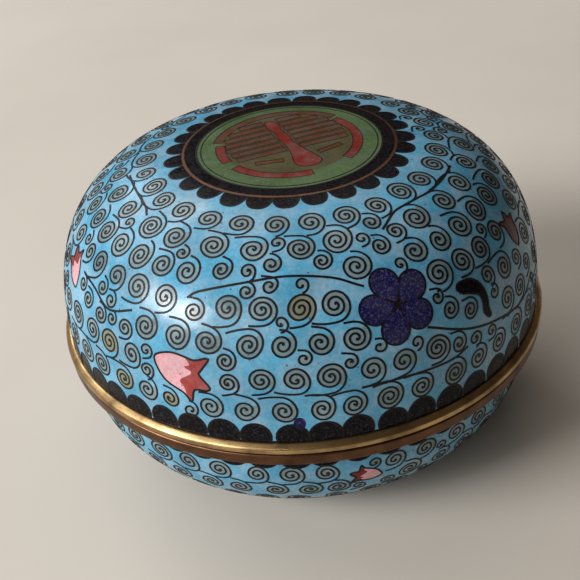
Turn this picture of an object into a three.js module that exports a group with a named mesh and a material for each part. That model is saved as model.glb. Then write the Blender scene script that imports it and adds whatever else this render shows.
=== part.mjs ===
// A round cloisonne enamel box with a domed lift-off lid.
// Five turned pieces share one vertical axis: the enamelled copper bowl on its brass foot ring,
// the bowl's brass rim with the flange that locates the lid, and the enamelled copper lid with
// its own brass rim. Millimetres, +Z up, the origin under the foot's centre on the table.
import * as THREE from 'three';

// Driving dimensions
const DIAMETER = 100; // over the lid's brass rim
const HEIGHT = 63.5; // table to the top of the lid
const SEAM_Z = 28; // where lid and bowl meet
const WALL = 2.2; // copper with enamel on both faces
const SIDES = 72; // facets round the axis

// Lid: a superellipse dome that starts on its rim
const LID_RIM_HEIGHT = 1.8;
const LID_RADIUS = 48.8; // the dome's widest, inside the proud rim
const LID_EQUATOR_Z = SEAM_Z + 1; // where the dome is widest
const LID_RADIAL_POWER = 3.8; // how square the shoulder is across
const LID_RISE_POWER = 2.75; // how square the shoulder is upwards
const LID_OUTSIDE_STEPS = 13;
const LID_INSIDE_STEPS = 10;

// Bowl: a superellipse cut off flat where it stands on the foot
const BOWL_RIM_HEIGHT = 2.8;
const BOWL_RADIUS = 47.4;
const BOWL_TOP_Z = SEAM_Z - BOWL_RIM_HEIGHT;
const BOWL_DEPTH = 27.05; // of the whole curve, most of which is above the foot
const BOWL_POWER = 2.5;
const BOWL_STEPS = 9;

// Brass rims and the flange inside the lid
const RIM_RADIUS = DIAMETER / 2;
const BOWL_RIM_RADIUS = RIM_RADIUS - 0.3;
const RIM_ROUNDING = 0.35; // worn outer corners
const SEAT_RADIUS = 47.6; // the lid rests inside this, and outside it a shadow gap stays open
const SHADOW_GAP = 0.5;
const LID_RIM_INNER = 46;
const FLANGE_CLEARANCE = 0.4;
const FLANGE_OUTER = LID_RIM_INNER - FLANGE_CLEARANCE;
const FLANGE_INNER = FLANGE_OUTER - 1.3;
const FLANGE_TOP_Z = SEAM_Z + 4.2;

// Foot ring
const FOOT_OUTER = 29.8;
const FOOT_INNER = 27.6;
const FOOT_HEIGHT = 2.2;
const FOOT_ROUNDING = 0.3;
const UNDERSIDE_RISE = 0.5; // the underside is a little hollow inside the foot

// A quarter of a superellipse, (r / a)^p + (z / b)^q = 1, from the equator to as far as `reach`
// of the height b. Positive `up` rises from the equator and negative `up` falls from it.
class QuarterSuperellipse extends THREE.Curve {
  constructor({ a, b, p, q, centreZ, up = 1, from = 0, reach = 1 }) {
    super();
    Object.assign(this, { a, b, p, q, centreZ, up, from, reach });
  }

  getPoint(t, target = new THREE.Vector2()) {
    const start = Math.asin(this.from ** (this.q / 2));
    const end = Math.asin(this.reach ** (this.q / 2));
    const angle = THREE.MathUtils.lerp(start, end, t);
    const radius = this.a * Math.max(Math.cos(angle), 0) ** (2 / this.p);
    const rise = this.b * Math.sin(angle) ** (2 / this.q);
    return target.set(radius, this.centreZ + this.up * rise);
  }
}

// Points a constant step apart along the curve, from its equator end.
function evenly(curve, steps) {
  curve.arcLengthDivisions = 2000;
  return curve.getSpacedPoints(steps);
}

// A closed solid of revolution about +Z from [radius, height] points. They run counterclockwise
// with the radius to the right and the height up, so that the faces point out.
function turned(name, profile, material) {
  const points = profile.map(([r, z]) => new THREE.Vector2(r, z));
  const geometry = new THREE.LatheGeometry(points, SIDES).rotateX(Math.PI / 2);
  const mesh = new THREE.Mesh(geometry, material);
  mesh.name = name;
  return mesh;
}

// A ring's profile has to come back to its first point.
function closed(profile) {
  return [...profile, profile[0]];
}

function lidDome(material) {
  const bottomZ = SEAM_Z + LID_RIM_HEIGHT;
  const shell = (inset, steps) => {
    const b = HEIGHT - LID_EQUATOR_Z - inset;
    const curve = new QuarterSuperellipse({
      a: LID_RADIUS - inset,
      b,
      p: LID_RADIAL_POWER,
      q: LID_RISE_POWER,
      centreZ: LID_EQUATOR_Z,
      from: (bottomZ - LID_EQUATOR_Z) / b,
    });
    const points = evenly(curve, steps).map((v) => [v.x, v.y]);
    points[0][1] = bottomZ;
    points[steps][0] = 0;
    return points;
  };
  const outside = shell(0, LID_OUTSIDE_STEPS);
  const inside = shell(WALL, LID_INSIDE_STEPS);
  return turned('lid_dome', [...inside.reverse(), ...outside], material);
}

function lidRim(material) {
  const top = SEAM_Z + LID_RIM_HEIGHT;
  const profile = [
    [LID_RIM_INNER, SEAM_Z],
    [RIM_RADIUS - RIM_ROUNDING, SEAM_Z],
    [RIM_RADIUS, SEAM_Z + RIM_ROUNDING],
    [RIM_RADIUS, top - RIM_ROUNDING],
    [RIM_RADIUS - RIM_ROUNDING, top],
    [LID_RIM_INNER, top],
  ];
  return turned('lid_rim', closed(profile), material);
}

function baseRim(material) {
  const bandTop = SEAM_Z - SHADOW_GAP;
  const profile = [
    [FLANGE_INNER, BOWL_TOP_Z],
    [BOWL_RIM_RADIUS - RIM_ROUNDING, BOWL_TOP_Z],
    [BOWL_RIM_RADIUS, BOWL_TOP_Z + RIM_ROUNDING],
    [BOWL_RIM_RADIUS, bandTop - RIM_ROUNDING],
    [BOWL_RIM_RADIUS - RIM_ROUNDING, bandTop],
    [SEAT_RADIUS, bandTop],
    [SEAT_RADIUS, SEAM_Z],
    [FLANGE_OUTER, SEAM_Z],
    [FLANGE_OUTER, FLANGE_TOP_Z - RIM_ROUNDING],
    [FLANGE_OUTER - RIM_ROUNDING, FLANGE_TOP_Z],
    [FLANGE_INNER, FLANGE_TOP_Z],
  ];
  return turned('base_rim', closed(profile), material);
}

function baseBowl(material) {
  const shell = (inset, flatZ) => {
    const b = BOWL_DEPTH - inset;
    const curve = new QuarterSuperellipse({
      a: BOWL_RADIUS - inset,
      b,
      p: BOWL_POWER,
      q: BOWL_POWER,
      centreZ: BOWL_TOP_Z,
      up: -1,
      reach: (BOWL_TOP_Z - flatZ) / b,
    });
    const points = evenly(curve, BOWL_STEPS).map((v) => [v.x, v.y]);
    points[BOWL_STEPS][1] = flatZ;
    return points;
  };
  const outside = shell(0, FOOT_HEIGHT);
  const inside = shell(WALL, FOOT_HEIGHT + WALL);
  const underside = [
    [FOOT_INNER - 1, FOOT_HEIGHT],
    [0, FOOT_HEIGHT + UNDERSIDE_RISE],
  ];
  const insideFloor = [0, FOOT_HEIGHT + UNDERSIDE_RISE + WALL];
  const profile = [...underside.reverse(), ...outside.reverse(), ...inside, insideFloor];
  return turned('base_bowl', profile, material);
}

function footRing(material) {
  const profile = [
    [FOOT_INNER, 0],
    [FOOT_OUTER - FOOT_ROUNDING, 0],
    [FOOT_OUTER, FOOT_ROUNDING],
    [FOOT_OUTER, FOOT_HEIGHT],
    [FOOT_INNER, FOOT_HEIGHT],
  ];
  return turned('foot_ring', closed(profile), material);
}

const enamel = new THREE.MeshStandardMaterial({ color: 0x62add0, roughness: 0.22, metalness: 0 });
const brass = new THREE.MeshStandardMaterial({ color: 0xa9814a, roughness: 0.35, metalness: 1 });

const lid = new THREE.Group();
lid.add(lidDome(enamel), lidRim(brass));

const base = new THREE.Group();
base.add(baseBowl(enamel), baseRim(brass), footRing(brass));

const box = new THREE.Group();
box.add(base, lid);

export default box;
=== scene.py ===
"""The looks of a round cloisonne enamel box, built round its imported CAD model.

The two enamelled pieces are closed shells whose outer skins are cut into cells of coloured glass,
and the wires that part the cells are thin metal ribbons set in them. The patterns are drawn on a
map of each skin: the distance from the skin's pole along its curve, at the angle round the axis.
Lengths are in millimetres until a mesh is made.
"""

import math
import random

import bpy
import numpy as np
from mathutils import Matrix, Vector
from mathutils.geometry import delaunay_2d_cdt


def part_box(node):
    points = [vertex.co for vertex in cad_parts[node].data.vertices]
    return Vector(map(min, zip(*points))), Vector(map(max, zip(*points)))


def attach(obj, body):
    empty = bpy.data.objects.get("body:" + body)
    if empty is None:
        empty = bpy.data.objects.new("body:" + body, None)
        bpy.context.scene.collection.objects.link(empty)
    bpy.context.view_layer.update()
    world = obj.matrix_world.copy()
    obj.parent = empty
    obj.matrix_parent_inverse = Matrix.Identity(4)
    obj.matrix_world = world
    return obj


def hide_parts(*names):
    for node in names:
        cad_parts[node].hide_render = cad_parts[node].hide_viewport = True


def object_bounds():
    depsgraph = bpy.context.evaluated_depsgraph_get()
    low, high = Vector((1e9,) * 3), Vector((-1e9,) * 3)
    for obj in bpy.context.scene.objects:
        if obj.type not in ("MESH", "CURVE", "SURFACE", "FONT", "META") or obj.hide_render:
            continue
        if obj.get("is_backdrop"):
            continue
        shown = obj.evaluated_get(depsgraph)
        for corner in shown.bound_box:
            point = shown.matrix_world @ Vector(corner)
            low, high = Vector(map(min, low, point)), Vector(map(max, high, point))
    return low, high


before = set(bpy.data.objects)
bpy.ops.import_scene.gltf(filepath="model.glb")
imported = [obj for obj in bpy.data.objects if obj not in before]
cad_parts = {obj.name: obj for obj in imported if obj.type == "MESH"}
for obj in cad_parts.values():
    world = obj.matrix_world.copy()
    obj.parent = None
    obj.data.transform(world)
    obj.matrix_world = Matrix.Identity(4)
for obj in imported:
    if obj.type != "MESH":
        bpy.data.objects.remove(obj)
cad_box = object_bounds()

MM = 0.001  # metres

# ------------ sizes from the frame


def extent(node):
    """A CAD node's radius, its bottom and its top, in mm."""
    low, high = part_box(node)
    return high[0] / MM, low[2] / MM, high[2] / MM


RIM_RADIUS, SEAM_Z, LID_RIM_TOP = extent("lid_rim")
LID_RADIUS, LID_BOTTOM, LID_TOP = extent("lid_dome")
BOWL_RADIUS, BOWL_BOTTOM, BOWL_TOP = extent("base_bowl")
BOWL_RIM_RADIUS, _, FLANGE_TOP = extent("base_rim")
FOOT_RADIUS, _, FOOT_TOP = extent("foot_ring")

# The rest of the construction, as in the part's source
WALL = 2.2
LID_EQUATOR = SEAM_Z + 1
LID_RADIAL_POWER = 3.8
LID_RISE_POWER = 2.75
BOWL_DEPTH = 27.05
BOWL_POWER = 2.5
UNDERSIDE_RISE = 0.5
SHADOW_GAP = 0.5
SEAT_RADIUS = 47.6
LID_RIM_INNER = 46.0
FLANGE_OUTER = LID_RIM_INNER - 0.4
FLANGE_INNER = FLANGE_OUTER - 1.3
FOOT_INNER = 27.6

# The wires, and the sizes that meshes are cut to
WIRE = 0.38  # the wires' width
PROUD = 0.05  # how far the wires stand out of the enamel
SUNK = PROUD + 0.02  # the enamel lies this far inside the CAD solid, so the wires stay in its box
WIRE_DEPTH = 0.3  # how far a wire's root goes into the enamel
ROUND_STEPS = 360
ROUND_ANGLES = 2 * math.pi * np.arange(ROUND_STEPS) / ROUND_STEPS
ROUND = np.stack([np.cos(ROUND_ANGLES), np.sin(ROUND_ANGLES)], axis=-1)  # the unit circle
INSIDE_RINGS = 33

# The lid's medallion
DISC_RADIUS = 18.2
RING_RADIUS = 20.8
RING_WIDTH = 0.55
SCALLOP_RADIUS = 24.5
SCALLOPS = 27
FRET_RADIUS = 12.9
FRET_TILT = 19  # degrees

# The borders of black tabs at the brass rims
LAPPETS = 51
LAPPET_AT = -94.6  # degrees, one tab's place
LAPPET_WIDTH = 5.8
LAPPET_HEIGHT = 4.2
SHALLOW_HEIGHT = 2.9
EDGE_LINE = 0.3  # the dark edge of each skin at its brass rim

# The scrolls
HOOK = 0.4  # the radius at which a scroll's winding starts
TURN_PITCH = 0.92  # from one turn to the next
SMALL_SCROLL = 2.1  # scrolls of a smaller radius wind closer and have short tails
LONG_TAIL = (1.0, 4.4)
SHORT_TAIL = (0.5, 1.6)
MOUTH = 0.14  # the share of a turn at the coil's end that the filled turn leaves open

# Rows of scrolls: s, how many, their radius, the side their tails leave by, one scroll's degrees
LID_ROWS = (
    (28.7, 29, 2.7, 1, -96.8), (34.3, 28, 2.85, -1, -90), (40.0, 42, 2.7, -1, -110.6),
    (45.2, 44, 2.65, 1, -90.7), (51.2, 44, 2.65, -1, -94.6), (57.4, 48, 2.65, 1, -92.6),
    (63.5, 48, 2.65, -1, -96),
)
LID_STAINS = ((-90.7, 44.3), (-137, 57.8), (-136.5, 64.1), (-118.8, 64.9))  # degrees, s
# The bowl's rows: how far under the rim, how many, the side, one scroll's degrees
BOWL_ROWS = (
    (4.9, 45, 1, -96), (10.0, 45, -1, -92), (15.2, 42, 1, -95), (20.4, 38, -1, -90),
    (25.6, 34, 1, -94),
)
BOWL_SCROLL = 2.55


# ------------ colours


def linear(red, green, blue):
    """An sRGB colour of 0 to 255 in Blender's linear values."""
    value = np.array([red, green, blue]) / 255
    return tuple(np.where(value <= 0.04045, value / 12.92, ((value + 0.055) / 1.055) ** 2.4))


SKY = linear(90, 152, 182)
SCROLL = linear(106, 130, 137)
STAINED = linear(118, 124, 104)
BLACK = linear(12, 10, 11)
NAVY = linear(28, 28, 68)
FLOWER_HEART = linear(26, 18, 24)
PINK = linear(200, 150, 156)
BRICK = linear(138, 60, 56)
DARK_RED = linear(108, 36, 33)
DULL_RED = linear(92, 52, 47)
OLIVE_GREEN = linear(74, 96, 60)
FRET_GROUND = linear(78, 74, 48)
FRET_RED = linear(112, 47, 40)
FRET_BROWN = linear(88, 58, 43)
COUNTER_ENAMEL = linear(92, 150, 176)


# ------------ skins


class Skin:
    """An enamelled outside, as the curve that is turned and the map its pattern is drawn on.

    A place on the map is x, y = s cos a, s sin a, for the distance s from the pole along the
    curve and the angle a round the axis.
    """

    def __init__(self, curve, down):
        self.r, self.z = np.array(curve).T
        steps = np.hypot(np.diff(self.r), np.diff(self.z))
        self.s = np.concatenate([[0.0], np.cumsum(steps)])
        self.length = self.s[-1]
        self.down = down  # 1 where the pole is the top, -1 where it is the bottom
        dr = np.gradient(self.r, self.s)
        dz = np.gradient(self.z, self.s)
        size = np.hypot(dr, dz)
        self.normal_r = -down * dz / size
        self.normal_z = down * dr / size

    def radius(self, s):
        """How far from the axis the skin is at s."""
        return np.interp(s, self.s, self.r)

    def turned(self, xy, r, z):
        """Two values that run along the curve, taken at the map's points and turned with them."""
        x, y = np.asarray(xy, float).T
        s, angle = np.hypot(x, y), np.arctan2(y, x)
        r, z = np.interp(s, self.s, r), np.interp(s, self.s, z)
        return np.stack([r * np.cos(angle), r * np.sin(angle), z], axis=-1)

    def place(self, xy, lift=0.0):
        """The map's points on the skin, `lift` mm off it."""
        return self.turned(xy, self.r + lift * self.normal_r, self.z + lift * self.normal_z)

    def normals(self, xy):
        """The skin's outward directions at the map's points."""
        return self.turned(xy, self.normal_r, self.normal_z)

    def polar(self, degrees, s):
        """The map's points at these angles and distances from the pole."""
        angle = np.radians(degrees)
        return np.stack([s * np.cos(angle), s * np.sin(angle)], axis=-1)

    def drawn(self, degrees, s, uv):
        """A small drawing's points on the map. Seen from outside, u runs right and v down."""
        u, v = np.asarray(uv, float).T
        along = np.clip(s + self.down * v, 0.05, self.length - 0.03)
        return self.polar(degrees + np.degrees(u / np.maximum(self.radius(along), 1.0)), along)


def superellipse(a, b, p, q, centre_z, up, start, end, steps=700):
    """Points of (r / a)^p + (|z - centre_z| / b)^q = 1 between two heights, given as shares of b."""
    first, last = (math.asin(share ** (q / 2)) for share in (start, end))
    angle = np.linspace(first, last, steps)
    r = a * np.maximum(np.cos(angle), 0) ** (2 / p)
    z = centre_z + up * b * np.sin(angle) ** (2 / q)
    return np.stack([r, z], axis=-1)


def lid_curve(inset):
    """The lid's curve from its pole to its rim, inside the outside by `inset`."""
    b = LID_TOP - LID_EQUATOR - inset
    start = (LID_BOTTOM - LID_EQUATOR) / b
    curve = superellipse(
        LID_RADIUS - inset, b, LID_RADIAL_POWER, LID_RISE_POWER, LID_EQUATOR, 1, start, 1
    )
    curve[-1, 0] = 0
    return curve[::-1]


def bowl_curve(inset, flat_z, middle_z):
    """The bowl's curve from the middle of its floor to its rim."""
    b = BOWL_DEPTH - inset
    end = (BOWL_TOP - flat_z) / b
    wall = superellipse(BOWL_RADIUS - inset, b, BOWL_POWER, BOWL_POWER, BOWL_TOP, -1, 0, end)[::-1]
    floor = np.stack([np.linspace(0, wall[0, 0], 60), np.full(60, flat_z)], axis=-1)
    dish_radius = FOOT_INNER - 1
    dished = floor[:, 0] < dish_radius
    floor[dished, 1] = middle_z + (flat_z - middle_z) * floor[dished, 0] / dish_radius
    return np.concatenate([floor[:-1], wall])


lid_skin = Skin(lid_curve(SUNK), 1)
bowl_skin = Skin(bowl_curve(SUNK, BOWL_BOTTOM, BOWL_BOTTOM + UNDERSIDE_RISE), -1)


# ------------ patterns


class Pattern:
    """The cells of coloured enamel and the wires of one skin."""

    def __init__(self, skin):
        self.skin = skin
        self.cells = []
        self.wires = []

    def cell(self, outline, colour, speckle=0.0):
        self.cells.append((np.asarray(outline), colour, speckle))

    def wire(self, path, width=WIRE):
        self.wires.append((np.asarray(path), width))

    def closed_wire(self, outline, width=WIRE):
        self.wire(np.concatenate([outline, outline[:2]]), width)

    def walled(self, outline, colour, speckle=0.0):
        """A cell with a wire all round it."""
        self.cell(outline, colour, speckle)
        self.closed_wire(outline)


# ------------ lines in a drawing


def catmull_rom(p, per_span):
    """The curve through all but the first and last of the points."""
    t = np.linspace(0, 1, per_span, endpoint=False)[:, None]
    spans = []
    for a, b, c, d in zip(p, p[1:], p[2:], p[3:]):
        square = (2 * a - 5 * b + 4 * c - d) * t**2
        cube = (3 * b - a - 3 * c + d) * t**3
        spans.append(0.5 * (2 * b + (c - a) * t + square + cube))
    return np.concatenate(spans)


def smooth(points, per_span=8):
    """A curve through the points."""
    p = np.asarray(points, float)
    p = np.concatenate([[2 * p[0] - p[1]], p, [2 * p[-1] - p[-2]]])
    return np.concatenate([catmull_rom(p, per_span), p[-2:-1]])


def smooth_loop(points, per_span=6):
    """A closed curve through the points, without repeating the first."""
    p = np.asarray(points, float)
    return catmull_rom(np.concatenate([p[-1:], p, p[:2]]), per_span)


def turned_by(uv, degrees):
    """A drawing turned clockwise about its own origin, as seen with v down."""
    c, s = math.cos(math.radians(degrees)), math.sin(math.radians(degrees))
    return np.asarray(uv, float) @ np.array([[c, s], [-s, c]])


def arc(radius, start, end, steps=24):
    """Points of an arc between two angles in degrees."""
    angle = np.radians(np.linspace(start, end, steps))
    return radius * np.stack([np.cos(angle), np.sin(angle)], axis=-1)


def circle(radius, steps=120):
    """Points of a circle, without repeating the first."""
    angle = np.linspace(0, 2 * math.pi, steps, endpoint=False)
    return radius * np.stack([np.cos(angle), np.sin(angle)], axis=-1)


def band(points, width):
    """The outline of a strip `width` wide along the points."""
    p = np.asarray(points, float)
    way = np.gradient(p, axis=0)
    way /= np.linalg.norm(way, axis=1)[:, None]
    side = np.stack([-way[:, 1], way[:, 0]], axis=-1) * width / 2
    return np.concatenate([p + side, (p - side)[::-1]])


# ------------ scrolls


def scroll_path(radius, side, dice):
    """A wound wire from its inner hook to where its tail leaves, in a drawing's u and v.

    The outermost turn runs down the right and leaves to the left: along the bottom where side is
    1, and along the top where it is -1. It returns the coil and the outline of its last turn.
    """
    pitch = TURN_PITCH * dice.uniform(0.92, 1.08)
    if radius < SMALL_SCROLL:
        pitch *= 0.9
    oval, lean = dice.uniform(-0.06, 0.06), dice.uniform(0, math.pi)
    lobe, lobe_turn = dice.uniform(0, 0.025), dice.uniform(0, math.pi)
    end = math.pi / 2 + dice.uniform(-0.1, 0.2)
    opening = dice.uniform(0.05, 0.16)
    angles = [end]
    r = radius
    while r > HOOK:
        angles.append(angles[-1] - min(0.32, 0.5 / max(r, 0.9)))
        r = radius - pitch * (end - angles[-1]) / (2 * math.pi)
    angle = np.array(angles[::-1])
    back = (end - angle) / (2 * math.pi)
    r = radius - pitch * back
    r *= 1 + opening * np.clip(1 - 2 * back, 0, 1) ** 2
    r *= 1 + oval * np.cos(2 * (angle - lean)) + lobe * np.cos(3 * (angle - lobe_turn))
    coil = np.stack([r * np.cos(angle), r * np.sin(angle)], axis=-1)
    outline = coil[(back > MOUTH) & (back < 1 + MOUTH)]
    hook = coil[0] * dice.uniform(-0.5, 0.3)
    sway = turned_by(coil[:1], 70)[0] * dice.uniform(0.2, 0.5)
    coil = np.concatenate([[hook, 0.5 * (hook + coil[0]) + sway], coil])
    flip = np.array([1, side])
    return coil * flip, outline * flip


def scroll_tail(coil, length, side):
    """The points past a coil's end, running on to the left and bending a little with the coil."""
    way = coil[-1] - coil[-2]
    way = way / np.hypot(*way)
    steps = np.linspace(0, 1, max(int(length / 0.5), 2) + 1)[1:, None]
    tail = coil[-1] + way * length * steps
    tail[:, 1:] -= side * 0.09 * (length * steps) ** 2 / 2
    return tail


class ScrollField:
    """Scrolls packed between a skin's motifs: set in rows, pushed apart, then small ones added."""

    def __init__(self, pattern, first_s, last_s, seed):
        self.pattern = pattern
        self.skin = pattern.skin
        self.first_s = first_s
        self.last_s = last_s
        self.dice = random.Random(seed)
        self.items = []  # [degrees, s, radius, side, row's s]
        self.discs = []  # obstacles: [degrees, s, radius]

    def keep_off(self, degrees, s, radius):
        """An obstacle for the scrolls."""
        self.discs.append((degrees, s, radius))

    def keep_off_path(self, path_xy, radius):
        """Obstacles along a vine or round an outline, given on the map."""
        for x, y in path_xy:
            self.discs.append((math.degrees(math.atan2(y, x)), math.hypot(x, y), radius))

    def row(self, s, count, radius, side, at):
        """Scrolls evenly round the skin, one of them at the angle `at`."""
        for k in range(count):
            degrees = at + 360 * k / count + self.dice.uniform(-0.7, 0.7)
            size = radius * self.dice.uniform(0.92, 1.07)
            self.items.append([degrees, s + self.dice.uniform(-0.4, 0.4), size, side, s])

    def spots(self, items):
        """Where scrolls or obstacles stand in space."""
        rows = np.array(items, float)
        return self.skin.place(self.skin.polar(rows[:, 0], rows[:, 1]))

    def settle_obstacles(self):
        """Work out where the obstacles stand, once all of them are in."""
        self.fixed = self.spots(self.discs)
        self.fixed_sizes = np.array(self.discs, float)[:, 2]

    def spread(self, rounds=60, gap=0.25, most_overlap=0.6):
        """Drop the scrolls that lie on a motif, and push the rest apart and off the motifs."""
        items = np.array(self.items, float)
        own = self.spots(items)
        room = np.linalg.norm(own[:, None] - self.fixed[None], axis=2) - self.fixed_sizes
        items = items[room.min(axis=1) > most_overlap * items[:, 2]]
        for _ in range(rounds):
            own = self.spots(items)
            apart = own[:, None] - own[None]
            distance = np.linalg.norm(apart, axis=2) + 1e-9
            want = items[:, None, 2] + items[None, :, 2] + gap
            push = np.clip(want - distance, 0, None) * (distance > 1e-6)
            move = (apart / distance[..., None] * push[..., None]).sum(axis=1) * 0.25
            away = own[:, None] - self.fixed[None]
            distance = np.linalg.norm(away, axis=2) + 1e-9
            push = np.clip(items[:, None, 2] + self.fixed_sizes[None] + gap - distance, 0, None)
            pick = np.arange(len(items)), push.argmax(axis=1)
            move += away[pick] / distance[pick][:, None] * push[pick][:, None] * 0.5
            angle = np.radians(items[:, 0])
            east = np.stack([-np.sin(angle), np.cos(angle), np.zeros(len(angle))], axis=-1)
            normal = self.skin.normals(self.skin.polar(items[:, 0], items[:, 1]))
            from_pole = self.skin.down * np.cross(east, normal)
            items[:, 0] += np.degrees((move * east).sum(axis=1) / self.skin.radius(items[:, 1]))
            items[:, 1] += (move * from_pole).sum(axis=1)
            items[:, 1] += 0.06 * (items[:, 4] - items[:, 1])
            nearest, furthest = self.first_s + items[:, 2], self.last_s - items[:, 2]
            items[:, 1] = np.clip(items[:, 1], nearest, furthest)
        self.items = items.tolist()

    def shrink_to_fit(self, least):
        """Make each scroll as small as its neighbours need, and drop what is left with no room."""
        kept = []
        places = []
        for item, here in zip(self.items, self.spots(self.items)):
            room = (np.linalg.norm(self.fixed - here, axis=1) - self.fixed_sizes).min()
            if kept:
                sizes = np.array(kept)[:, 2]
                room = min(room, (np.linalg.norm(np.array(places) - here, axis=1) - sizes).min())
            item[2] = min(item[2], room - 0.05)
            if item[2] >= least:
                kept.append(item)
                places.append(here)
        self.items = kept

    def fill(self, tries, least, most):
        """Put small scrolls in the widest gaps that are left."""
        near, far = self.first_s**2, self.last_s**2
        s = np.sqrt(np.array([self.dice.uniform(near, far) for _ in range(tries)]))
        degrees = np.array([self.dice.uniform(0, 360) for _ in range(tries)])
        spots = self.spots(np.stack([degrees, s], axis=-1))
        room = np.minimum(s - self.first_s, self.last_s - s)
        taken = np.concatenate([self.fixed, self.spots(self.items)])
        sizes = np.concatenate([self.fixed_sizes, [item[2] for item in self.items]])
        for centre, radius in zip(taken, sizes):
            room = np.minimum(room, np.linalg.norm(spots - centre, axis=1) - radius)
        while room.max() > least:
            k = room.argmax()
            radius = min(room[k] + 0.08, most)
            self.items.append([degrees[k], s[k], radius, self.dice.choice((1, -1)), s[k]])
            room = np.minimum(room, np.linalg.norm(spots - spots[k], axis=1) - radius)

    def draw(self, stains=()):
        """Wind a wire in every scroll and colour the enamel inside its last turn."""
        spots = self.spots(self.items)
        sizes = np.array(self.items)[:, 2]
        stained = set()
        for stain in stains:
            there = self.spots([stain])[0]
            stained.add(int(np.linalg.norm(spots - there, axis=1).argmin()))
        for k, (degrees, s, radius, side, _) in enumerate(self.items):
            coil, outline = scroll_path(radius, side, self.dice)
            limits = LONG_TAIL if radius > SMALL_SCROLL else SHORT_TAIL
            tail = scroll_tail(coil, self.dice.uniform(*limits), side)
            places = self.skin.place(self.skin.drawn(degrees, s, tail))
            free = np.linalg.norm(places[:, None] - spots[None], axis=2) > sizes[None] + 0.1
            free[:, k] = True
            clear = np.linalg.norm(places[:, None] - self.fixed[None], axis=2) > self.fixed_sizes
            good = free.all(axis=1) & clear.all(axis=1)
            stop = len(good) if good.all() else int(good.argmin())
            path = np.concatenate([coil, tail[:stop]])
            self.pattern.wire(self.skin.drawn(degrees, s, path))
            colour = np.array(STAINED if k in stained else SCROLL) * self.dice.uniform(0.84, 1.12)
            self.pattern.cell(self.skin.drawn(degrees, s, outline), colour)


# ------------ motifs


def lappet(width, height):
    """A round tab standing on v = 0 and reaching up: a circle cut off where it stands."""
    radius = width / 2
    lift = height - radius
    overhang = math.asin(min(lift / radius, 0.95))
    angle = np.linspace(math.pi + overhang, -overhang, 17)
    return np.stack([radius * np.cos(angle), -lift - radius * np.sin(angle)], axis=-1)


def shallow_lappet(width, height):
    """A tab of which only the round end shows past the rim."""
    angle = np.linspace(math.pi, 0, 15)
    return np.stack([width / 2 * np.cos(angle), -height * np.sin(angle) ** 0.9], axis=-1)


def lappet_border(pattern, s, tab, reach, dice):
    """A ring of black tabs that stand on the map's circle s. They reach up or down the skin."""
    for k in range(LAPPETS):
        degrees = LAPPET_AT + 360 * k / LAPPETS + dice.uniform(-0.35, 0.35)
        outline = tab * (dice.uniform(0.94, 1.03), reach * dice.uniform(0.93, 1.06))
        outline = pattern.skin.drawn(degrees, s, outline)
        pattern.cell(outline, BLACK, 0.35)
        pattern.wire(outline)


def flower(field, degrees, s, turn, size=1.0, colour=NAVY):
    """Five round petals about a dark heart."""
    pattern, skin = field.pattern, field.skin
    reach, petal_radius, heart_radius = 4.3 * size, 2.6 * size, 3.5 * size
    petals, half_rim = 5, 122
    pattern.cell(skin.drawn(degrees, s, circle(heart_radius, 20)), FLOWER_HEART, 0.3)
    for k in range(petals):
        way = turn + 360 / petals * k
        centre = arc(reach, way, way, 1)[0]
        rim = centre + arc(petal_radius, way - half_rim, way + half_rim)
        petal = np.concatenate([rim, [0.14 * centre]])
        pattern.cell(skin.drawn(degrees, s, petal), colour, 1.0)
        pattern.wire(skin.drawn(degrees, s, rim), 0.8 * WIRE)
        field.keep_off_path(skin.drawn(degrees, s, [centre]), petal_radius)
    field.keep_off(degrees, s, reach)


def keep_off_drawing(field, degrees, s, discs, turn, size=1.0):
    """Obstacles given as u, v and radius in a small drawing, which is then turned and sized."""
    centres = size * turned_by([disc[:2] for disc in discs], turn)
    for centre, disc in zip(centres, discs):
        field.keep_off_path(field.skin.drawn(degrees, s, [centre]), size * disc[2])


def lotus_bud(field, degrees, s, turn=0.0, size=1.0, mouth=BRICK, body=PINK):
    """A bud on its side: a pale body at the left, and a darker mouth with three points."""
    back = [(-5.8, -2.2), (-2.6, -3.6), (0.4, -3.4)]
    tips = [(2.2, -3.1), (4.9, -3.8), (3.5, -1.4), (3.2, -0.5), (5.1, 1.6), (4.4, 2.4),
            (2.2, 2.6), (1.7, 4.6), (1.3, 5.3), (0.7, 4.4)]
    belly = [(-0.3, 3.5), (-3.3, 2.2), (-5.1, 0.2)]
    join = [(0.2, 2.6), (-0.6, 1.2), (1.7, -0.6), (0.3, -1.5), (1.3, -2.1)]
    whole = size * turned_by(smooth_loop(back + tips + belly, 4), turn)
    dark = size * turned_by(smooth_loop([back[-1]] + tips + join, 4), turn)
    field.pattern.walled(field.skin.drawn(degrees, s, whole), body, 0.15)
    field.pattern.cell(field.skin.drawn(degrees, s, dark), mouth, 0.5)
    discs = [(-3.4, -1.0, 2.8), (-0.6, -0.4, 3.2), (2.6, -0.6, 3.0), (0.8, 3.4, 1.8)]
    keep_off_drawing(field, degrees, s, discs, turn, size)


def curled_leaf(field, degrees, s, turn=0.0):
    """A black leaf whose tail curls down its right side."""
    outline = [(-3.2, -0.9), (-2.6, -1.7), (-1.2, -1.7), (0.5, -1.3), (2.0, 0.0), (2.9, 1.8),
               (3.1, 3.8), (2.9, 5.3), (3.2, 6.9), (2.4, 7.0), (1.4, 5.6), (1.6, 3.4),
               (1.0, 1.9), (-1.2, 0.7), (-2.4, 0.2)]
    whole = turned_by(smooth_loop(outline, 4), turn)
    field.pattern.walled(field.skin.drawn(degrees, s, whole), BLACK, 0.2)
    discs = [(-1.6, -0.6, 1.5), (0.8, 0.2, 1.5), (2.4, 2.2, 0.9), (2.2, 4.4, 0.8), (2.6, 6.2, 0.9)]
    keep_off_drawing(field, degrees, s, discs, turn)


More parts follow.
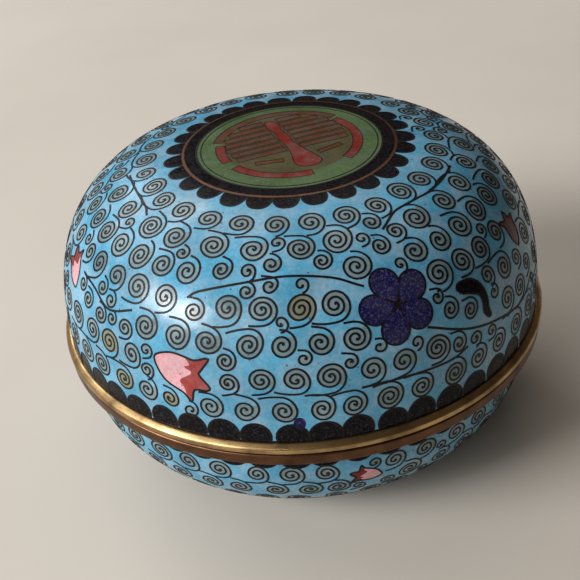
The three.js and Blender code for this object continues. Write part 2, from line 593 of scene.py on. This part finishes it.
def vine(field, stations):
    """A stem through stations of degrees and s."""
    degrees, s = np.array(smooth(stations)).T
    path = field.skin.polar(degrees, s)
    field.pattern.wire(path, 1.15 * WIRE)
    field.keep_off_path(path[::2], 0.15)


def dot(field, degrees, s, radius, colour):
    """A small upright oval without a wire."""
    oval = circle(radius, 12) * (1, 1.2)
    field.pattern.cell(field.skin.drawn(degrees, s, oval), colour, 0.6)


# ------------ the two patterns


def medallion(pattern, dice):
    """The lid's middle: a red and brown fret on a green disc, a black ring and black scallops."""
    pattern.cell(circle(RING_RADIUS + 0.2), BLACK, 0.25)
    turn = np.linspace(-1, 1, 17)
    for k in range(SCALLOPS):
        middle = 360 * k / SCALLOPS + dice.uniform(-0.8, 0.8)
        height = (SCALLOP_RADIUS - RING_RADIUS) * dice.uniform(0.9, 1.03)
        reach = RING_RADIUS + height * np.clip(1 - np.abs(turn) ** 2.6, 0, 1) ** 0.6
        angle = np.radians(middle + 180 / SCALLOPS * turn * 0.98)
        head = reach[:, None] * np.stack([np.cos(angle), np.sin(angle)], axis=-1)
        foot = head[::-1] / reach[::-1, None] * (RING_RADIUS - 0.2)
        pattern.cell(np.concatenate([head, foot]), BLACK, 0.3)
        pattern.wire(head)
    pattern.cell(circle(DISC_RADIUS), OLIVE_GREEN, 0.4)
    pattern.closed_wire(circle(DISC_RADIUS))
    pattern.closed_wire(circle(DISC_RADIUS - 0.9), 0.5 * WIRE)
    fret(pattern)


def fret(pattern):
    """A roundel of brown bars about a red spindle, with red arcs round them."""
    spindle = [(-0.6, 11.4), (0.9, 10.6), (1.2, 8.6), (0.8, 6.2), (1.1, 3.0), (1.0, 0.0),
               (1.7, -3.6), (2.7, -7.4), (3.0, -9.6), (1.4, -11.0), (-1.2, -10.6), (-2.2, -8.6),
               (-1.4, -5.0), (-1.0, -1.0), (-1.2, 2.4), (-0.9, 5.6), (-1.5, 8.4), (-1.2, 10.6)]
    shapes = [(circle(FRET_RADIUS), FRET_GROUND)]
    for side in (-1, 1):
        for y, outer in ((11.0, 6.6), (8.8, 9.4), (6.6, 11.0), (4.4, 11.8), (2.2, 12.0),
                         (0.0, 11.8), (-2.2, 11.4)):
            bar = np.stack([np.linspace(1.5, outer, 9), np.full(9, y)], axis=-1)
            shapes.append((band(bar * (side, 1), 1.7), FRET_BROWN))
        inner_bar = np.stack([np.linspace(3.6, 8.8, 7), np.linspace(-6.4, -5.2, 7)], axis=-1)
        shapes.append((band(inner_bar * (side, 1), 1.3), FRET_BROWN))
    shapes.append((band(arc(14.2, 30, 150, 40), 2.0), FRET_BROWN))
    for start, end in ((156, 188), (200, 268), (-56, 26)):
        shapes.append((band(arc(13.4, start, end), 1.9), FRET_RED))
    shapes.append((smooth_loop(spindle, 3), FRET_RED))
    turn = math.radians(FRET_TILT)
    spin = np.array([[math.cos(turn), math.sin(turn)], [-math.sin(turn), math.cos(turn)]])
    for shape, colour in shapes:
        pattern.cell(shape @ spin, colour, 0.2)
    for shape, _ in shapes[1:]:
        pattern.closed_wire(shape @ spin, 0.35 * WIRE)


def front_spray(field):
    """The large flower with its buds, leaf and stems."""
    flower(field, -68.8, 47.6, -34)
    lotus_bud(field, -116.8, 58.0)
    lotus_bud(field, -159, 49.8, -150, 0.7, DARK_RED)
    lotus_bud(field, -26, 47.5, -100, 0.6, DARK_RED, DULL_RED)
    curled_leaf(field, -49.5, 50.1)
    vine(field, [(-117.5, 44.4), (-114.6, 42.9), (-104.9, 40.8), (-93.8, 39.5),
                 (-82.8, 40.5), (-75.4, 43.1)])
    vine(field, [(-63.4, 53.0), (-52.9, 56.9), (-43, 59.1), (-32.4, 60.5), (-24, 58.5)])
    vine(field, [(-64, 34), (-56, 31.4), (-46, 31.2), (-38.3, 31.6), (-19.2, 31.7)])
    vine(field, [(-174.4, 31.6), (-162, 31.2), (-150.1, 31.7), (-145, 33.0)])
    vine(field, [(-79.5, 60.4), (-73.1, 60.4), (-59.3, 60.9), (-54, 60)])
    vine(field, [(-153, 48.8), (-146, 49.6), (-139, 51.4), (-131.5, 49.4)])
    dot(field, -58, 48.1, 0.5, BLACK)
    dot(field, -92.6, 66.2, 1.1, NAVY)


def back_spray(field):
    """The same kind of spray, more loosely set, on the side away from the front."""
    flower(field, 62, 50, 20)
    flower(field, 150, 46, 60, 0.92, DARK_RED)
    lotus_bud(field, 108, 56, -20, 0.85)
    curled_leaf(field, 20, 53, 20)
    vine(field, [(69, 46), (78, 42), (90, 41.5), (101, 46), (104, 51)])
    vine(field, [(24, 49), (36, 44), (48, 43.5), (56, 46)])
    vine(field, [(157, 51), (166, 56), (178, 57.5), (190, 55)])
    vine(field, [(60, 33), (80, 31), (100, 31.6), (118, 35)])


def lid_pattern():
    """The medallion, the tabs at the rim, two sprays and the scrolls between them."""
    pattern = Pattern(lid_skin)
    dice = random.Random(11)
    edge = lid_skin.length
    pattern.cell(circle(edge - EDGE_LINE, 300), SKY)
    medallion(pattern, dice)
    lappet_border(pattern, edge, lappet(LAPPET_WIDTH, LAPPET_HEIGHT), 1, dice)
    field = ScrollField(pattern, SCALLOP_RADIUS + 0.2, edge - LAPPET_HEIGHT + 0.6, seed=7)
    front_spray(field)
    back_spray(field)
    field.settle_obstacles()
    for s, count, radius, side, at in LID_ROWS:
        field.row(s, count, radius, side, at)
    field.spread()
    field.shrink_to_fit(least=1.5)
    field.fill(tries=12000, least=1.25, most=2.0)
    field.draw(LID_STAINS)
    return pattern


def bowl_pattern():
    """The tabs that show under the rim, four buds and the scrolls down to the foot."""
    pattern = Pattern(bowl_skin)
    edge = bowl_skin.length
    pattern.cell(circle(edge - EDGE_LINE, 300), SKY)
    shallow = shallow_lappet(LAPPET_WIDTH, SHALLOW_HEIGHT)
    lappet_border(pattern, edge, shallow, -1, random.Random(23))
    wall_start = bowl_skin.s[np.argmax(bowl_skin.r > FOOT_RADIUS + 0.2)]
    field = ScrollField(pattern, wall_start + 0.6, edge - 1.8, seed=19)
    lotus_bud(field, -79.2, edge - 7.2, 180, 0.55, DARK_RED)
    for degrees in (-170, 10, 100):
        lotus_bud(field, degrees, edge - 9, 0, 0.6)
    field.settle_obstacles()
    for down, count, side, at in BOWL_ROWS:
        field.row(edge - down, count, BOWL_SCROLL, side, at)
    field.spread()
    field.shrink_to_fit(least=1.4)
    field.fill(tries=6000, least=1.25, most=1.8)
    field.draw()
    return pattern


# ------------ meshes


def new_object(name, vertices, faces, material, smooth_faces=True):
    """An object from millimetre vertices."""
    mesh = bpy.data.meshes.new(name)
    mesh.from_pydata((np.asarray(vertices) * MM).tolist(), [], [list(map(int, f)) for f in faces])
    mesh.polygons.foreach_set("use_smooth", [smooth_faces] * len(mesh.polygons))
    mesh.materials.append(material)
    mesh.update()
    thing = bpy.data.objects.new(name, mesh)
    bpy.context.scene.collection.objects.link(thing)
    return thing


def ring_map_points(skin):
    """Points in rings over the map, closer together than the skin bends."""
    first, spacing, margin, step = 1.2, 1.5, 0.6, 1.7
    points = [(0.0, 0.0)]
    rings = int((skin.length - first) / spacing)
    for k, s in enumerate(np.linspace(first, skin.length - margin, rings)):
        count = max(int(2 * math.pi * float(skin.radius(s)) / step), 8)
        angle = 2 * math.pi * (np.arange(count) + 0.5 * (k % 2)) / count
        points += np.stack([s * np.cos(angle), s * np.sin(angle)], axis=-1).tolist()
    return points


def outer_triangles(skin, pattern):
    """Cut the map into triangles along every cell's outline. The first points are the edge's."""
    points = (skin.length * ROUND).tolist()
    lines = [(k, (k + 1) % ROUND_STEPS) for k in range(ROUND_STEPS)]
    for outline, _, _ in pattern.cells:
        first = len(points)
        points += outline.tolist()
        lines += [(first + k, first + (k + 1) % len(outline)) for k in range(len(outline))]
    points += ring_map_points(skin)
    inner_triangles, merge_distance = 1, 1e-4
    vertices, _, triangles, origins, _, _ = delaunay_2d_cdt(
        [Vector(p) for p in points], lines, [], inner_triangles, merge_distance, True
    )
    home = {given: k for k, merged in enumerate(origins) for given in merged}
    return np.array(vertices), np.array(triangles), [home[k] for k in range(ROUND_STEPS)]


def inside(points, outline):
    """Which points lie inside a closed outline, by counting crossings."""
    x, y = points.T
    found = np.zeros(len(points), bool)
    near = (
        (x > outline[:, 0].min()) & (x < outline[:, 0].max())
        & (y > outline[:, 1].min()) & (y < outline[:, 1].max())
    )
    x, y = x[near], y[near]
    odd = np.zeros(len(x), bool)
    for (ax, ay), (bx, by) in zip(outline, np.roll(outline, -1, axis=0)):
        spans = (ay > y) != (by > y)
        if spans.any():
            crossing = ax + (y - ay) * (bx - ax) / (by - ay + 1e-12)
            odd ^= spans & (x < crossing)
    found[near] = odd
    return found


def cell_paint(pattern, middles):
    """Each triangle's colour and speckle: those of the last cell that holds its middle."""
    colours = np.tile(BLACK, (len(middles), 1))
    speckles = np.zeros(len(middles))
    for outline, colour, speckle in pattern.cells:
        hit = inside(middles, outline)
        colours[hit] = colour
        speckles[hit] = speckle
    return colours, speckles


def plain_inside(inner_curve, first, edge):
    """The inside as rings of the edge's steps from the rim to the pole.

    Its vertices are numbered from `first`, and `edge` holds those of the outer skin's edge.
    """
    curve = np.asarray(inner_curve)[::-1]
    picks = np.linspace(0, len(curve) - 1, INSIDE_RINGS + 1).astype(int)[:-1]
    rings = [np.insert(curve[k, 0] * ROUND, 2, curve[k, 1], axis=1) for k in picks]
    faces = []
    previous = edge
    for k in range(INSIDE_RINGS):
        here = range(first + k * ROUND_STEPS, first + (k + 1) * ROUND_STEPS)
        for a in range(ROUND_STEPS):
            b = (a + 1) % ROUND_STEPS
            faces.append((previous[a], here[a], here[b], previous[b]))
        previous = here
    pole = first + INSIDE_RINGS * ROUND_STEPS
    for a in range(ROUND_STEPS):
        faces.append((previous[a], pole, previous[(a + 1) % ROUND_STEPS]))
    return np.concatenate(rings + [[(0, 0, curve[-1, 1])]]), faces


def enamel_shell(name, skin, pattern, inner_curve, material):
    """A closed shell: the patterned outer skin, the edge at the rim and the plain inside."""
    xy, triangles, edge = outer_triangles(skin, pattern)
    outer = skin.place(xy)
    facing = np.cross(outer[triangles[:, 1]] - outer[triangles[:, 0]],
                      outer[triangles[:, 2]] - outer[triangles[:, 0]])
    middles = xy[triangles].mean(axis=1)
    wrong = (facing * skin.normals(middles)).sum(axis=1) < 0
    triangles[wrong] = triangles[wrong][:, ::-1]

    inner, inner_faces = plain_inside(inner_curve, len(outer), edge)
    if skin.down > 0:
        inner_faces = [face[::-1] for face in inner_faces]
    vertices = np.concatenate([outer, inner])
    faces = triangles.tolist() + inner_faces
    thing = new_object(name, vertices, faces, material)
    mesh = thing.data

    colours, speckles = cell_paint(pattern, middles)
    sides = np.array([len(face) for face in faces])
    plain = np.tile(COUNTER_ENAMEL, (len(inner_faces), 1))
    colours = np.insert(np.concatenate([colours, plain]), 3, 1.0, axis=1)
    layer = mesh.color_attributes.new("enamel_colour", "FLOAT_COLOR", "CORNER")
    layer.data.foreach_set("color", np.repeat(colours, sides, axis=0).ravel())
    speckles = np.concatenate([speckles, np.zeros(len(inner_faces))])
    layer = mesh.attributes.new("speckle", "FLOAT", "CORNER")
    layer.data.foreach_set("value", np.repeat(speckles, sides))

    add_map_uv(mesh, faces, vertices, xy, skin, len(triangles))
    set_normals(mesh, faces, xy, skin, len(triangles))
    return thing


def map_uv(skin, xy):
    """Where the skin's map lies in the picture, which it fills."""
    return 0.5 + 0.495 * xy / skin.length


def add_map_uv(mesh, faces, vertices, xy, skin, triangle_count):
    """The skin's map fills the picture. The inside is a small copy in a corner."""
    corner_middle, inside_size, edge_size = 0.074, 0.066, 0.071
    outer_count = len(xy)
    turn = np.arctan2(vertices[:, 1], vertices[:, 0])
    around = np.stack([np.cos(turn), np.sin(turn)], axis=-1)
    inner = vertices[outer_count:]
    depth = np.hypot(inner[:, 0], inner[:, 1]) + 0.6 * np.abs(inner[:, 2] - inner[-1, 2])
    share = depth[:, None] / depth.max()
    small = corner_middle + inside_size * share * around[outer_count:]
    places = np.concatenate([map_uv(skin, xy), small])
    flat = np.array([v for face in faces for v in face])
    uv = places[flat]
    # the edge's own quads join the two copies, so they are moved next to the small one
    edge = slice(triangle_count * 3, triangle_count * 3 + 4 * ROUND_STEPS)
    own = flat[edge]
    moved = corner_middle + edge_size * around[own]
    uv[edge] = np.where((own < outer_count)[:, None], moved, uv[edge])
    mesh.uv_layers.new(name="OFBake").data.foreach_set("uv", uv.ravel())


def set_normals(mesh, faces, xy, skin, triangle_count):
    """The outer skin shades as the true curve, however its triangles lie."""
    exact = skin.normals(xy)
    flat = np.array([v for f in faces[:triangle_count] for v in f])
    normals = np.zeros((len(mesh.loops), 3))
    normals[: len(flat)] = exact[flat]
    mesh.normals_split_custom_set(normals.tolist())


def wire_mesh(name, skin, wires, material):
    """Every wire as a ribbon set in the enamel, its flat top just proud of it."""
    vertices = []
    faces = []
    maps = []
    count = 0
    closest = 0.02
    for path, width in wires:
        keep = np.ones(len(path), bool)
        keep[1:] = np.linalg.norm(np.diff(path, axis=0), axis=1) > closest
        path = path[keep]
        if len(path) < 2:
            continue
        top = skin.place(path, PROUD)
        normal = skin.normals(path)
        way = np.gradient(top, axis=0)
        side = np.cross(way, normal)
        side /= np.linalg.norm(side, axis=1)[:, None] + 1e-12
        left = top + side * width / 2
        right = top - side * width / 2
        root = skin.place(path, -WIRE_DEPTH)
        block = np.stack([left, right, root], axis=1).reshape(-1, 3)
        vertices.append(block)
        n = len(path)
        k = np.arange(n - 1) * 3 + count
        for a, b in ((0, 1), (1, 2), (2, 0)):
            faces.append(np.stack([k + a, k + b, k + b + 3], axis=-1))
            faces.append(np.stack([k + a, k + b + 3, k + a + 3], axis=-1))
        end = count + (n - 1) * 3
        faces.append(np.array([[count, count + 2, count + 1], [end, end + 1, end + 2]]))
        maps.append(np.repeat(path, 3, axis=0))
        count += 3 * n
    faces = np.concatenate(faces)[:, ::-1]
    thing = new_object(name, np.concatenate(vertices), faces, material, smooth_faces=False)
    add_two_maps(thing.data, map_uv(skin, np.concatenate(maps))[faces.ravel()])
    return thing


def add_two_maps(mesh, uv):
    """The same map for baking and for the brass's grain."""
    for name in ("OFBake", "around"):
        mesh.uv_layers.new(name=name).data.foreach_set("uv", uv.ravel())


def turned_ring(name, corners, material):
    """A ring turned from (radius, height, rounding) corners, given counterclockwise."""
    profile = []
    count = len(corners)
    for k, (r, z, rounding) in enumerate(corners):
        here = np.array([r, z])
        back = np.array(corners[k - 1][:2]) - here
        ahead = np.array(corners[(k + 1) % count][:2]) - here
        if rounding == 0:
            profile.append(here)
            continue
        start = here + back / np.linalg.norm(back) * rounding
        end = here + ahead / np.linalg.norm(ahead) * rounding
        for t in np.linspace(0, 1, 6):
            profile.append((1 - t) ** 2 * start + 2 * t * (1 - t) * here + t**2 * end)
    profile = np.array(profile)
    n = len(profile)
    level = profile[None, :, :1] * ROUND[:, None]
    heights = np.tile(profile[None, :, 1:], (ROUND_STEPS, 1, 1))
    vertices = np.concatenate([level, heights], axis=2).reshape(-1, 3)
    faces = []
    uv = []
    steps = np.linalg.norm(np.diff(np.vstack([profile, profile[:1]]), axis=0), axis=1)
    lengths = np.concatenate([[0], np.cumsum(steps)])
    lengths /= lengths[-1]
    for a in range(ROUND_STEPS):
        b = (a + 1) % ROUND_STEPS
        for k in range(n):
            m = (k + 1) % n
            faces.append((a * n + k, b * n + k, b * n + m, a * n + m))
            left, right = a / ROUND_STEPS, (a + 1) / ROUND_STEPS
            low, high = lengths[k], lengths[k + 1]
            uv += [(left, low), (right, low), (right, high), (left, high)]
    thing = new_object(name, vertices, faces, material)
    add_two_maps(thing.data, np.array(uv))
    return thing


# ------------ materials


class Shading:
    """A material's nodes, which end in one Principled shader."""

    def __init__(self, name):
        self.material = bpy.data.materials.new(name)
        self.material.use_nodes = True
        self.nodes = self.material.node_tree.nodes
        self.links = self.material.node_tree.links
        self.nodes.clear()
        self.shader = self.node("BsdfPrincipled")
        self.node("OutputMaterial", Surface=self.shader.outputs["BSDF"])
        self.where = self.node("TexCoord").outputs["Object"]

    def fill(self, socket, value):
        """Give an input a number or a colour, or join it to an output."""
        if isinstance(value, (float, int)):
            socket.default_value = value
        elif isinstance(value, tuple):
            socket.default_value = (*value, 1.0)
        else:
            self.links.new(value, socket)

    def set(self, name, value):
        """Fill one of the shader's inputs."""
        self.fill(self.shader.inputs[name], value)

    def node(self, kind, **inputs):
        """A node with its inputs filled. In their names an underscore stands for a space."""
        node = self.nodes.new("ShaderNode" + kind)
        for name, value in inputs.items():
            self.fill(node.inputs[name.replace("_", " ")], value)
        return node

    def attribute(self, name):
        """A value stored on the mesh."""
        node = self.node("Attribute")
        node.attribute_name = name
        return node

    def noise(self, scale, detail=3.0, roughness=0.55, where=None):
        """Soft noise, in the object's own space unless it is told where."""
        where = where or self.where
        node = self.node("TexNoise", Vector=where, Scale=scale, Detail=detail, Roughness=roughness)
        return node.outputs["Fac"]

    def ranged(self, value, low, high, to_low, to_high):
        """Map a value's range to another, clamped."""
        node = self.node("MapRange", Value=value, From_Min=low, From_Max=high)
        self.fill(node.inputs["To Min"], to_low)
        self.fill(node.inputs["To Max"], to_high)
        return node.outputs["Result"]

    def mixed(self, factor, first, second, blend="MIX"):
        """Two colours mixed by a factor."""
        node = self.node("Mix")
        node.data_type = "RGBA"
        node.blend_type = blend
        for k, value in ((0, factor), (6, first), (7, second)):
            self.fill(node.inputs[k], value)
        return node.outputs[2]

    def product(self, first, second, operation="MULTIPLY"):
        """Two values multiplied, or put through another operation."""
        node = self.node("Math")
        node.operation = operation
        self.fill(node.inputs[0], first)
        self.fill(node.inputs[1], second)
        return node.outputs[0]

    def bumps(self, height, strength, distance):
        """Let a height bend the shader's normals."""
        node = self.node("Bump", Height=height, Strength=strength, Distance=distance)
        self.set("Normal", node.outputs["Normal"])


def enamel_material():
    """Glass fused in the cells: cloudy colour, fine specks, pits and a soft polish."""
    look = Shading("cloisonne_enamel")
    clouds = look.ranged(look.noise(110, 5, 0.6), 0.3, 0.7, 0.76, 1.15)
    grain = look.ranged(look.noise(1500), 0.3, 0.7, 0.86, 1.12)
    shade = look.product(clouds, grain)
    toned = look.mixed(1.0, look.attribute("enamel_colour").outputs["Color"], shade, "MULTIPLY")

    film = look.ranged(look.noise(190, 6, 0.65), 0.42, 0.7, 1.08, 0.7)
    dulled = look.node("HueSaturation", Color=toned, Saturation=film)

    specks = look.ranged(look.noise(2600, 2, 0.7), 0.52, 0.68, 0.0, 0.5)
    specks = look.product(specks, look.attribute("speckle").outputs["Fac"])
    toned = look.mixed(specks, dulled.outputs["Color"], linear(104, 100, 124))

    pits = look.node("TexVoronoi", Vector=look.where, Scale=640)
    pits = look.ranged(pits.outputs["Distance"], 0.06, 0.15, 1.0, 0.0)
    sparse = look.ranged(look.noise(260, 2), 0.48, 0.6, 0.0, 0.85)
    pits = look.product(pits, sparse)
    toned = look.mixed(pits, toned, linear(34, 30, 30))
    look.set("Base Color", toned)

    look.set("Roughness", look.ranged(look.noise(300, 5, 0.65), 0.35, 0.7, 0.14, 0.42))
    height = look.product(look.noise(300), look.product(pits, 0.6), "SUBTRACT")
    look.bumps(height, 0.35, 0.00018)
    tone = look.node("RGBToBW", Color=toned)
    sheen = look.ranged(tone.outputs["Val"], 0.01, 0.12, 0.07, 0.42)  # black cells shine least
    look.set("Specular IOR Level", sheen)
    return look.material


def wire_material():
    """Copper wire gone nearly black."""
    look = Shading("tarnished_wire")
    tone = look.noise(900)
    worn = look.ranged(tone, 0.4, 0.75, 0.0, 1.0)
    look.set("Base Color", look.mixed(worn, linear(8, 8, 12), linear(28, 22, 22)))
    look.set("Roughness", look.ranged(tone, 0.3, 0.7, 0.4, 0.6))
    look.set("Specular IOR Level", 0.2)
    return look.material


def brass_material(name, light, dark, wear=0.5):
    """Gilt brass with a grain round the ring and brown tarnish."""
    look = Shading(name)
    around = look.node("UVMap")
    around.uv_map = "around"
    stretch = look.node("Mapping", Vector=around.outputs["UV"])
    stretch.inputs["Scale"].default_value = (26.0, 90.0, 1.0)
    lines = look.noise(3.0, 4, where=stretch.outputs["Vector"])
    patches = look.noise(190, 4)
    tarnish = look.ranged(patches, 0.5 - 0.25 * wear, 0.75, 0.0, 0.85)
    scratches = look.ranged(lines, 0.4, 0.7, 0.0, 0.35)
    look.set("Base Color", look.mixed(scratches, look.mixed(tarnish, light, dark), dark))
    look.set("Metallic", 1.0)
    look.set("Roughness", look.ranged(patches, 0.3, 0.75, 0.26, 0.46))
    look.bumps(lines, 0.2, 0.00005)
    return look.material


def floor_material():
    """A pale matt floor, a little uneven in tone."""
    look = Shading("pale_floor")
    tone = look.ranged(look.noise(9), 0.3, 0.7, 0.0, 1.0)
    look.set("Base Color", look.mixed(tone, linear(194, 187, 177), linear(202, 195, 185)))
    look.set("Roughness", 0.8)
    return look.material


# ------------ the pieces

enamel = enamel_material()
wire_metal = wire_material()
rim_brass = brass_material("gilt_brass", linear(200, 168, 118), linear(66, 46, 28))
# the base band's and foot's brass: its darker, browner colours are painted shade, standing for the
# shadow under the lid's band; its heavier tarnish is wear
shade_darkened_brass = brass_material("brass_with_painted_shade", linear(120, 86, 62), linear(54, 37, 27), 0.9)
ring_brass = brass_material("medallion_brass", linear(140, 104, 84), linear(80, 56, 48))


def dress(piece, slot, *nodes):
    """A piece rides on the part and stands for CAD nodes, which are hidden. The slot is not used."""
    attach(piece, "root")
    if nodes:
        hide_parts(*nodes)


def make_lid():
    """The dome's shell with its wires and the medallion's ring, and the brass band."""
    pattern = lid_pattern()
    shell = enamel_shell("lid_enamel", lid_skin, pattern, lid_curve(WALL), enamel)
    dress(shell, "enamel", "lid_dome")
    dress(wire_mesh("lid_wires", lid_skin, pattern.wires, wire_metal), "gilt_brass")
    ring = circle(RING_RADIUS, 180)
    loop = np.concatenate([ring, ring[:2]])
    dress(wire_mesh("lid_medallion_ring", lid_skin, [(loop, RING_WIDTH)], ring_brass), "gilt_brass")
    band_corners = [
        (LID_RIM_INNER, SEAM_Z, 0), (RIM_RADIUS, SEAM_Z, 0.3),
        (RIM_RADIUS, LID_RIM_TOP - 0.75, 0.4), (LID_RADIUS + 0.25, LID_RIM_TOP, 0.2),
        (LID_RIM_INNER, LID_RIM_TOP, 0),
    ]
    dress(turned_ring("lid_band", band_corners, rim_brass), "gilt_brass", "lid_rim")


def make_base():
    """The bowl's shell with its wires, its band with the flange, and the foot."""
    pattern = bowl_pattern()
    floor_z = BOWL_BOTTOM + WALL
    inside_curve = bowl_curve(WALL, floor_z, floor_z + UNDERSIDE_RISE)
    shell = enamel_shell("base_enamel", bowl_skin, pattern, inside_curve, enamel)
    dress(shell, "enamel", "base_bowl")
    dress(wire_mesh("base_wires", bowl_skin, pattern.wires, wire_metal), "gilt_brass")
    band_top = SEAM_Z - SHADOW_GAP
    corners = [
        (FLANGE_INNER, BOWL_TOP, 0), (BOWL_RIM_RADIUS, BOWL_TOP, 0.4),
        (BOWL_RIM_RADIUS, band_top, 0.5), (SEAT_RADIUS, band_top, 0),
        (SEAT_RADIUS, SEAM_Z, 0), (FLANGE_OUTER, SEAM_Z, 0),
        (FLANGE_OUTER, FLANGE_TOP, 0.35), (FLANGE_INNER, FLANGE_TOP, 0.35),
    ]
    # the base band takes the brass whose darker colours are painted shade
    dress(turned_ring("base_band", corners, shade_darkened_brass), "gilt_brass", "base_rim")
    foot = [
        (FOOT_INNER, 0, 0.25), (FOOT_RADIUS, 0, 0.3),
        (FOOT_RADIUS, FOOT_TOP, 0), (FOOT_INNER, FOOT_TOP, 0),
    ]
    dress(turned_ring("foot_band", foot, shade_darkened_brass), "gilt_brass", "foot_ring")


# ------------ camera, floor and light

CAMERA_DISTANCE = 2.2 * 2 * RIM_RADIUS  # from the middle of the seam
CAMERA_ELEVATION = 33.92  # degrees
CAMERA_TURNS = ((0.632, "Y"), (0.239, "X"), (-4.867, "Z"))  # degrees off that aim, in order
CAMERA_LENS = 63.875
FLOOR_REACH = 2500


def rise(azimuth, elevation):
    """The unit direction at an azimuth and an elevation in degrees."""
    a, e = math.radians(azimuth), math.radians(elevation)
    return Vector((math.cos(e) * math.cos(a), math.cos(e) * math.sin(a), math.sin(e)))


def make_camera():
    """In front and above, aimed at the middle of the seam but for small turns."""
    data = bpy.data.cameras.new("camera")
    data.sensor_width = 36.0
    data.lens = CAMERA_LENS
    thing = bpy.data.objects.new("camera", data)
    bpy.context.scene.collection.objects.link(thing)
    offset = rise(-90, CAMERA_ELEVATION) * CAMERA_DISTANCE
    turn = (-offset).to_track_quat("-Z", "Y").to_matrix().to_4x4()
    for degrees, axis in CAMERA_TURNS:
        turn = turn @ Matrix.Rotation(math.radians(degrees), 4, axis)
    place = (offset + Vector((0, 0, SEAM_Z))) * MM
    thing.matrix_world = Matrix.Translation(place) @ turn
    bpy.context.scene.camera = thing


def make_floor():
    """A large plain floor a hair under the foot."""
    corners = [(x * FLOOR_REACH, y * FLOOR_REACH, 0) for x, y in ((-1, -1), (1, -1), (1, 1), (-1, 1))]
    floor = new_object("floor", corners, [(0, 1, 2, 3)], floor_material(), smooth_faces=False)
    floor.location.z = -0.00002
    floor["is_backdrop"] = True


def area_light(name, azimuth, elevation, distance, width, height, power, colour):
    """A rectangle of light aimed at the seam. Degrees, metres and watts."""
    data = bpy.data.lights.new(name, "AREA")
    data.shape = "RECTANGLE"
    data.size = width
    data.size_y = height
    data.energy = power
    data.color = colour
    thing = bpy.data.objects.new(name, data)
    bpy.context.scene.collection.objects.link(thing)
    offset = rise(azimuth, elevation) * distance
    thing.location = offset + Vector((0, 0, SEAM_Z * MM))
    thing.rotation_euler = (-offset).to_track_quat("-Z", "Y").to_euler()


def make_light():
    """A window at the front left, the rest of its room, and a dim warm surrounding."""
    area_light("window", -155, 28, 2.0, 1.0, 0.7, 44, (1.0, 0.99, 0.98))
    area_light("room", -138, 26, 2.6, 2.0, 1.2, 23, (1.0, 0.99, 0.97))
    area_light("behind", 138, 38, 2.2, 2.0, 1.2, 24, (0.98, 0.99, 1.0))
    area_light("above", 100, 62, 2.0, 1.6, 1.6, 7, (1.0, 0.94, 0.86))
    world = bpy.data.worlds.new("world")
    world.use_nodes = True
    background = world.node_tree.nodes["Background"]
    background.inputs["Color"].default_value = (0.66, 0.52, 0.42, 1)
    background.inputs["Strength"].default_value = 0.1
    bpy.context.scene.world = world
    bpy.context.scene.view_settings.view_transform = "Standard"


make_camera()
make_floor()
make_light()
make_lid()
make_base()

sizes = {"cad": cad_box, "visual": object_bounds()}
{name: [list(corner) for corner in box] for name, box in sizes.items()}
